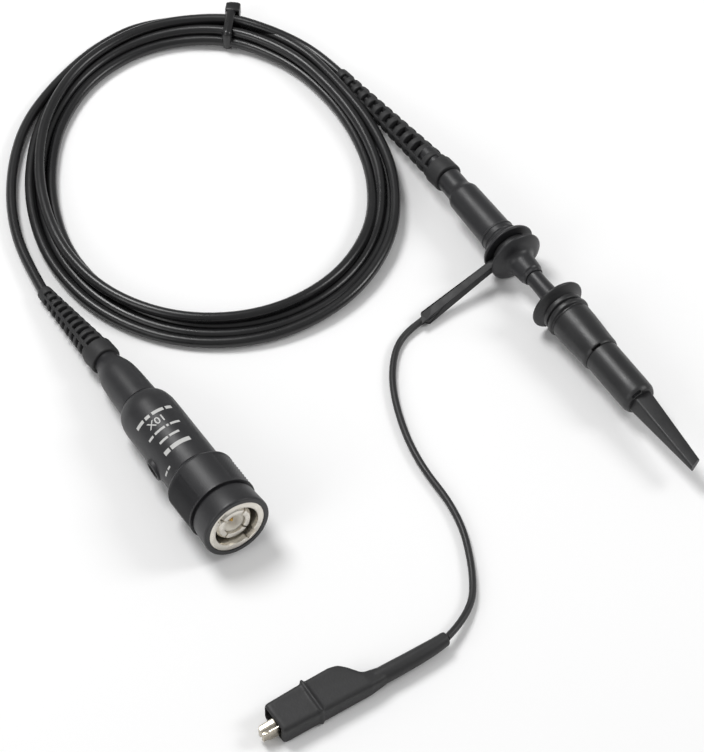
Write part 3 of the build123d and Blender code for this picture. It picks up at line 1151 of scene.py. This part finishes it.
@dataclass
class CompensationPlug:
    """Compensation box and bayonet plug at the cable's end, along its own tilted axis."""

    tail: tuple[float, float, float] = (-46.4, -88.5, 1.65)
    tilt: float = PLUG_TILT
    relief_length: float = 25.8
    relief_yaw: float = 3.11
    neck_end: float = 40.9
    box_front: float = 64.4
    box_out: float = 6.2
    grip_start: float = 64.7
    groove: float = 75.2
    front: float = 80.7
    grip_out: float = 7.6
    trimmer_along: float = 57.2
    trimmer_side: float = 100.0
    panels: int = 3
    relief_windows: int = 9

    def place(self) -> Matrix:
        """Where the plug's axis lies."""
        return Matrix.Translation(self.tail) @ Matrix.Rotation(-math.radians(self.tilt), 4, "Y")

    def build(self) -> list[bpy.types.Object]:
        """Builds the plug.

        Returns:
            The pieces that replace CAD nodes or are added to them.
        """
        return [
            *self.relief(),
            self.neck(),
            self.box(),
            self.print_marks(),
            self.coupling_grip(),
            self.coupling_nut(),
            self.contact_body(),
            self.insulator(),
            self.trimmer(),
        ]

    def relief(self) -> list[bpy.types.Object]:
        """The shorter ladder relief, bent a little aside, with the cable's end in it."""
        bend = Matrix.Rotation(math.radians(self.relief_yaw), 4, "Z")
        place = self.place() @ Matrix.Translation((self.relief_length, 0, 0)) @ bend
        tail = -self.relief_length
        mesh = relief_mesh(tail, 0.0, 3.45, self.relief_windows)
        core = turned((tail, 0.0), (tail, 1.2), (-9.6, 1.2), (-9.6, 0.0))
        return [
            finished(mesh, "plug_strain_relief", place, RELIEF_RUBBER, ("plug_relief",)),
            finished(core, "cable_in_plug", place, CABLE_PVC, ("plug_cable_end",)),
        ]

    def neck(self) -> bpy.types.Object:
        """The neck, which swells smoothly from the relief into the box."""
        end = self.relief_length
        neck = turned(
            (end - 9.0, 1.6),
            (end - 9.0, 2.15, 0.2),
            (end, 2.15),
            (end, 2.75, 0.1),
            (end + 1.2, 2.85, 0.6),
            (end + 4.6, 4.0, 1.2),
            (end + 8.0, 4.3, 1.4),
            (self.neck_end, 4.55),
            (self.neck_end, 3.2),
            (end + 8.5, 3.0),
            (end + 4.0, 1.6),
        )
        return finished(neck, "rear_neck", self.place(), HOUSING, ("plug_neck",))

    def box(self) -> bpy.types.Object:
        """The box cover: a domed rear, a long round body, and a rimmed hole for the trimmer."""
        rear, front = self.neck_end, self.box_front
        shell = turned(
            (rear, 3.2),
            (rear, 4.5, 0.3),
            (rear + 1.2, 5.5, 0.6),
            (rear + 3.0, 6.12, 1.2),
            (rear + 5.6, self.box_out, 0.8),
            (front, self.box_out, 0.3),
            (front, 5.4),
            (rear + 5.0, 5.4),
            (rear + 1.6, 4.4),
            (rear + 1.6, 3.2),
        )
        rim = self.radial(turned((5.3, 1.7), (5.3, 2.6, 0.2), (6.62, 2.4, 0.25), (6.62, 1.7, 0.12)))
        hole = self.radial(turned((4.0, 0.0), (4.0, 1.7), (7.5, 1.7), (7.5, 0.0)))
        shell = carved(shell, hole)
        return finished(
            joined(shell, rim), "box_cover", self.place(), HOUSING, ("box_shell",)
        )

    def radial(self, bm: bmesh.types.BMesh) -> bmesh.types.BMesh:
        """Turns a shape made along X so that it points out of the box where the trimmer is."""
        turn = Matrix.Rotation(math.radians(self.trimmer_side), 4, "X") @ Matrix.Rotation(-math.pi / 2, 4, "Y")
        bmesh.ops.transform(bm, matrix=Matrix.Translation((self.trimmer_along, 0, 0)) @ turn, verts=bm.verts)
        return bm

    def trimmer(self) -> bpy.types.Object:
        """The trimmer's brass screw, with its driver slot and a chamfered head."""
        screw = self.radial(turned((4.15, 0.0), (4.15, 1.25), (5.55, 1.3, 0.15), (5.55, 0.0)))
        slot = self.radial(block((0.6, 2.9, 0.4), (5.45, 0, 0)))
        screw = carved(screw, slot)
        return finished(
            screw, "trimmer_head", self.place(), BRASS, ("trimmer_screw",), "trimmer"
        )

    def coupling_grip(self) -> bpy.types.Object:
        """The moulded grip: smooth panels and knurled ones in turn, a groove and a flared lip."""
        start, groove, front = self.grip_start, self.groove, self.front
        knurl_start, knurl_end = start + 1.4, groove - 0.5
        outline = outline_of(
            [
                Corner(start, 5.4),
                Corner(start, 6.6, 0.2),
                Corner(start + 1.1, self.grip_out, 0.3),
                Corner(groove - 0.3, self.grip_out, 0.12),
                Corner(groove - 0.3, 6.8),
                Corner(groove + 0.25, 6.8),
                Corner(groove + 0.25, 7.15, 0.12),
                Corner(front - 0.35, 7.5, 0.3),
                Corner(front, 7.3, 0.15),
                Corner(front, 6.32),
                Corner(66.4, 6.32),
                Corner(66.4, 5.4),
            ]
        )
        steps = 120
        rows = int((knurl_end - knurl_start) / (FULL_TURN * self.grip_out / steps))
        long_edge = max(
            (e for e in outline.edges if min(v.co.z for v in e.verts) > self.grip_out - 0.01),
            key=lambda e: e.calc_length(),
        )
        bmesh.ops.subdivide_edges(outline, edges=[long_edge], cuts=rows)
        mesh = spun(outline, steps)
        self.knurl(mesh, knurl_start, knurl_end, steps)
        return finished(
            mesh, "knurled_grip", self.place(), HOUSING, ("coupling_grip",), "coupling"
        )

    def knurl(self, mesh: bmesh.types.BMesh, start: float, end: float, steps: int) -> None:
        """Raises every second point of the grip's knurled panels into fine diamonds.

        Args:
            mesh: The spun grip.
            start: Where the knurl starts along the axis.
            end: Where it ends.
            steps: How many faces the grip has round it.
        """
        depth, share = 0.26, 0.25
        surface = [
            v
            for v in mesh.verts
            if start < v.co.x < end and abs(math.hypot(v.co.y, v.co.z) - self.grip_out) < 0.02
        ]
        stations = sorted({round(v.co.x, 3) for v in surface})
        for vert in surface:
            turn = math.atan2(-vert.co.y, vert.co.z) / FULL_TURN
            panel = ((turn - 8 / 360) * self.panels) % 1.0
            row = stations.index(round(vert.co.x, 3))
            column = round(turn * steps)
            radial = Vector((0, vert.co.y, vert.co.z)).normalized()
            if abs(panel - 0.5) < share:
                vert.co -= radial * (depth if (row + column) % 2 else 0.0)

    def coupling_nut(self) -> bpy.types.Object:
        """The nickel ring with its bayonet notches, its edges broken."""
        nut = cad_copy("coupling_nut", self.place())
        soften(nut, 0.12, math.radians(40), segments=2)
        return finished(nut, "bayonet_ring", self.place(), NICKEL, ("coupling_nut",), "coupling")

    def contact_body(self) -> bpy.types.Object:
        """The slotted outer contact and the body behind it."""
        body = cad_copy("plug_body", self.place())
        soften(body, 0.08, math.radians(40), segments=2)
        return finished(body, "outer_contact", self.place(), NICKEL, ("plug_body",))

    def insulator(self) -> bpy.types.Object:
        """The white insulator round the centre pin, with a dished front."""
        body = turned(
            (60.5, 0.7), (60.5, 2.43), (79.2, 2.43, 0.15), (79.2, 1.9, 0.1), (78.0, 1.0, 0.2), (78.0, 0.7)
        )
        return finished(
            body, "plug_insulator", self.place(), PTFE, ("plug_dielectric",)
        )

    def print_marks(self) -> bpy.types.Object:
        """The white print: the attenuation figure between plain bars, wrapped on the box.

        Returns:
            The print, as thin raised ink.
        """
        text = bpy.data.curves.new("figure", "FONT")
        text.body, text.size, text.align_x, text.align_y = "10X", 2.5, "CENTER", "CENTER"
        text.offset = 0.03
        holder = bpy.data.objects.new("figure", text)
        bpy.context.scene.collection.objects.link(holder)
        flat = bpy.data.meshes.new_from_object(holder.evaluated_get(bpy.context.evaluated_depsgraph_get()))
        bm = bmesh.new()
        bm.from_mesh(flat)
        bpy.data.meshes.remove(flat)
        bpy.data.curves.remove(text)
        # the figure reads across the box, so its line runs round the axis
        bmesh.ops.rotate(bm, cent=(0, 0, 0), matrix=Matrix.Rotation(math.pi / 2, 3, "Z"), verts=bm.verts)
        bmesh.ops.translate(bm, vec=(51.7, 0, 0), verts=bm.verts)
        # place along the plug, the dashes' height, and each dash's start and length round the box
        lines = (
            (49.4, 0.85, (-4.9, 1.5), (-2.9, 2.7), (0.4, 1.2), (2.1, 2.3)),
            (54.0, 0.6, (-4.2, 2.2), (-1.6, 0.5), (-0.7, 2.6), (2.4, 1.5)),
            (56.6, 0.6, (-2.6, 2.3), (0.1, 2.2)),
            (59.4, 1.1, (-3.6, 4.6), (1.4, 1.5)),
            (62.3, 0.5, (3.6, 0.9), (4.9, 1.3)),
        )
        bars = [
            (along, start + long / 2, long, wide)
            for along, wide, *dashes in lines
            for start, long in dashes
        ]
        for along, around, long, wide in bars:
            bar = bmesh.new()
            bmesh.ops.create_grid(bar, x_segments=2, y_segments=12, size=0.5)
            bmesh.ops.scale(bar, vec=(wide, long, 1), verts=bar.verts)
            bmesh.ops.translate(bar, vec=(along, around, 0), verts=bar.verts)
            bm = joined(bm, bar)
        bmesh.ops.triangulate(bm, faces=bm.faces)
        bmesh.ops.subdivide_edges(bm, edges=bm.edges, cuts=2, use_grid_fill=True)
        middle_turn = math.radians(16.0)
        for vert in bm.verts:
            turn = middle_turn + vert.co.y / self.box_out
            out = self.box_out + 0.02
            vert.co = (vert.co.x, -out * math.sin(turn), out * math.cos(turn))
        return finished(bm, "printed_marks", self.place(), INK)


@dataclass
class GroundLead:
    """Moulded strap from the ring on the barrel, thin wire and the booted spring clip."""

    wire_out: float = 0.75
    strap_end: tuple[float, float, float] = (3.3, -24.2, 1.35)
    clip_place: tuple[float, float, float] = (75.0, -64.9, 2.5)
    boot_length: float = 38.4
    free_length: float = 0.09

    def route(self) -> list[tuple[float, float, float]]:
        """The wire's route over the surface, as listed points, in millimetres."""
        return [
            self.strap_end,
            (3.7, -29.0, 0.85),
            (7.6, -34.8, 0.75),
            (17.0, -40.9, 0.75),
            (33.0, -45.7, 0.75),
            (50.0, -45.6, 0.75),
            (63.4, -50.9, 0.75),
            (71.9, -57.0, 1.2),
            self.clip_place,
        ]

    def place(self) -> Matrix:
        """Where the clip's axis lies: along -Y, flat on the surface."""
        return Matrix.Translation(self.clip_place) @ Matrix.Rotation(-math.pi / 2, 4, "Z")

    def build(self) -> bpy.types.Object:
        """Lays the wire.

        Returns:
            The wire, a curve of one spline.
        """
        wire = curve_piece("ground_wire", self.route(), self.wire_out, WIRE_PVC)
        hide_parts("lead_wire")
        return wire

    def declare(self, wire: bpy.types.Object, pieces: list[bpy.types.Object]) -> None:
        """Does nothing."""

    def strap(self) -> bpy.types.Object:
        """The strap: a collar round the barrel and a flat arm that thickens where the wire starts.

        Returns:
            The strap.
        """
        collar = turned((-0.1, 3.15), (-0.1, 4.4, 0.25), (1.6, 4.4, 0.25), (1.6, 3.15))
        bmesh.ops.translate(collar, vec=(0, 0, 6.2), verts=collar.verts)
        start, end = Vector((0.75, -3.6, 5.4)), Vector(self.strap_end)
        # share of the way, width and height of the arm
        sections = ((0.0, 2.0, 2.2), (0.1, 2.1, 1.9), (0.84, 1.9, 1.5), (0.9, 2.25, 1.8), (0.98, 2.3, 1.8), (1.0, 2.0, 1.6))
        direction = (end - start).normalized()
        turn = direction.to_track_quat("-Y", "Z").to_matrix().to_4x4()
        bm = bmesh.new()
        face = bm.faces.new([bm.verts.new((x, 0, z)) for x, z in ((-1, -1), (1, -1), (1, 1), (-1, 1))])
        loop = list(face.verts)
        bmesh.ops.scale(bm, vec=(sections[0][1] / 2, 1, sections[0][2] / 2), verts=loop)
        reach = (end - start).length
        for before, after in zip(sections, sections[1:]):
            grown = bmesh.ops.extrude_face_region(bm, geom=[face])
            loop = [v for v in grown["geom"] if isinstance(v, bmesh.types.BMVert)]
            face = next(f for f in grown["geom"] if isinstance(f, bmesh.types.BMFace))
            bmesh.ops.scale(bm, vec=(after[1] / before[1], 1, after[2] / before[2]), verts=loop)
            bmesh.ops.translate(bm, vec=(0, -(after[0] - before[0]) * reach, 0), verts=loop)
        bmesh.ops.recalc_face_normals(bm, faces=bm.faces)
        bmesh.ops.transform(bm, matrix=Matrix.Translation(start) @ turn, verts=bm.verts)
        soften(bm, 0.42, math.radians(40), segments=4)
        return finished(
            joined(collar, bm), "ground_strap", Matrix.Identity(4), BOOT_PVC, ("lead_strap",)
        )

    def boot(self) -> bpy.types.Object:
        """The soft boot: a tapered tail, a humped hood with a raised band, and an open mouth.

        Returns:
            The boot.
        """
        half = 2.5
        hood = extruded(
            [
                (15.0, 2.4),
                (19.0, 2.75),
                (39.3, 2.9),
                (39.5, -4.6),
                (30.0, -5.15),
                (24.4, -5.35),
                (22.4, -5.0),
                (20.9, -3.6),
                (19.0, -1.25),
                (15.0, -0.8),
            ],
            -half,
            half,
        )
        for vert in hood.verts:
            vert.co.z *= min(1.0, 0.6 + 0.055 * (vert.co.x - 15.0))
        soften(hood, 0.9, math.radians(20), segments=5)
        tail = turned((0.0, 0.0), (0.0, 1.45, 0.45), (3.5, 1.65, 1.5), (10.0, 1.85, 3.0), (21.0, 1.85), (21.0, 0.0))
        for vert in tail.verts:
            vert.co.y += 0.75 * (1 - math.exp(-vert.co.x / 5.0))
        band = extruded([(30.1, 3.0), (30.8, 3.0), (30.8, -5.45), (30.1, -5.5)], -half, half + 0.32)
        soften(band, 0.3, math.radians(20), segments=3)
        whole = with_modifier(joined(hood, tail, band), "REMESH", {"mode": "VOXEL", "voxel_size": 0.2})
        wide = extruded([(24.0, 1.9), (41.0, 1.9), (41.0, -4.1), (30.0, -4.55), (24.0, -4.7)], -1.85, 1.85)
        soften(wide, 0.4, math.radians(20), segments=3)
        narrow = extruded([(21.0, 1.75), (25.0, 1.75), (25.0, -4.5), (22.6, -4.3), (21.0, -3.2)], -1.35, 1.35)
        soften(narrow, 0.4, math.radians(20), segments=3)
        whole = carved(carved(whole, wide), narrow)
        whole = carved(whole, turned((-1.0, 0.0), (-1.0, 0.8), (22.0, 0.8), (22.0, 0.0)))
        whole = with_modifier(whole, "REMESH", {"mode": "VOXEL", "voxel_size": 0.15})
        for _ in range(4):
            bmesh.ops.smooth_vert(
                whole, verts=whole.verts, factor=0.5, use_axis_x=True, use_axis_y=True, use_axis_z=True
            )
        return finished(whole, "soft_boot", self.place(), BOOT_PVC, ("clip_boot",))

    def jaws(self) -> list[bpy.types.Object]:
        """The fixed and the moving jaw, with their sharp edges broken.

        Returns:
            Both jaws.
        """
        made = []
        for node, name, body in (
            ("clip_fixed_jaw", "fixed_jaw", ROOT_BODY),
            ("clip_moving_jaw", "moving_jaw", "clip_jaw"),
        ):
            jaw = cad_copy(node, self.place())
            soften(jaw, 0.18, math.radians(40), beyond=33.0)
            soften(jaw, 0.06, math.radians(40), segments=2)
            made.append(finished(jaw, name, self.place(), PRESSED_NICKEL, (node,), body))
        return made


@dataclass
class Studio:
    """Pale floor, soft light and the camera."""

    target: tuple[float, float, float] = (0.007545, -0.045, 0.0002)
    toward_camera: tuple[float, float, float] = (0.52864, -0.32873, 0.78261)
    distance: float = 0.6356
    lens: float = 143.6

    def build(self) -> None:
        """Sets up the camera, the floor and the lights."""
        bpy.context.scene.view_settings.view_transform = "Standard"
        self.camera()
        self.floor()
        self.lights()

    def camera(self) -> None:
        """Places the camera."""
        data = bpy.data.cameras.new("camera")
        data.lens = self.lens
        data.sensor_width = 36.0
        data.clip_start, data.clip_end = 0.01, 20.0
        camera = bpy.data.objects.new("camera", data)
        bpy.context.scene.collection.objects.link(camera)
        back = Vector(self.toward_camera).normalized()
        camera.location = Vector(self.target) + back * self.distance
        camera.rotation_mode = "QUATERNION"
        camera.rotation_quaternion = (-back).to_track_quat("-Z", "Y")
        bpy.context.scene.camera = camera

    def floor(self) -> None:
        """Lays a wide white floor just under the object."""
        bm = bmesh.new()
        bmesh.ops.create_grid(bm, x_segments=1, y_segments=1, size=3.0)
        bmesh.ops.translate(bm, vec=(0, 0, -0.0002), verts=bm.verts)
        ground = as_object(bm, "floor")
        ground.data.materials.append(
            PALETTE.get(Finish("white_paper", "#fafafa", "#f6f6f6", 400.0, 0.9, 0.02, Grain.SPECKLED, 2.0, 0.01))
        )

    def lights(self) -> None:
        """Hangs a large soft key light, a rim light and a low fill, with a bright surround."""
        world = bpy.data.worlds.new("surround")
        world.use_nodes = True
        world.node_tree.nodes["Background"].inputs["Color"].default_value = linear("#ffffff")
        world.node_tree.nodes["Background"].inputs["Strength"].default_value = 0.36
        bpy.context.scene.world = world
        middle = Vector(self.target)
        lamps = (
            ("key", (-0.4, -0.12, 0.75), 0.35, 4.2),
            ("rim", (0.3, 0.6, 0.55), 0.3, 2.0),
            ("fill", (0.1, -0.8, 0.45), 0.5, 1.6),
        )
        for name, offset, size, power in lamps:
            data = bpy.data.lights.new(name, "AREA")
            data.shape, data.size, data.energy = "DISK", size, power
            lamp = bpy.data.objects.new(name, data)
            bpy.context.scene.collection.objects.link(lamp)
            lamp.location = middle + Vector(offset)
            lamp.rotation_mode = "QUATERNION"
            lamp.rotation_quaternion = (-Vector(offset)).to_track_quat("-Z", "Y")


def dress_cad_nodes() -> None:
    """Gives every CAD node that still shows the material of its slot."""
    slots = {s["node"]: s["material_slot"] for s in frame["record"]["subparts"]}
    for name, node in frame["nodes"].items():
        if node.hide_render:
            continue
        node.data.materials.clear()
        node.data.materials.append(PALETTE.get(CAD_FINISHES[slots[name]]))
        log.info("%s keeps its CAD mesh, in %s", name, slots[name])


PLUG_NODES = (
    "plug_ferrule",
    "box_chassis",
    "compensation_board",
    "board_resistors",
    "trimmer_stator",
    "plug_centre_pin",
    "plug_gasket",
    "wave_washer",
)
CLIP_NODES = ("clip_pivot_pin", "clip_spring", "lead_wire_end")


def main() -> None:
    """Builds the whole look model."""
    logging.basicConfig(level=logging.INFO, format="%(message)s")
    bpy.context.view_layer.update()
    Studio().build()
    cable = SignalCable()
    cord = cable.build()
    lead = GroundLead()
    wire = lead.build()
    ProbeHead().build()
    HookTip().build()
    plug_pieces = CompensationPlug().build()
    plug_pieces.append(cable.tie())
    lead.strap()
    clip_pieces = [lead.boot(), *lead.jaws()]
    dress_cad_nodes()
    nodes = frame["nodes"]
    cable.declare(cord, plug_pieces + [nodes[n] for n in PLUG_NODES])
    lead.declare(wire, clip_pieces + [nodes[n] for n in CLIP_NODES])


if __name__ == "__main__":
    main()
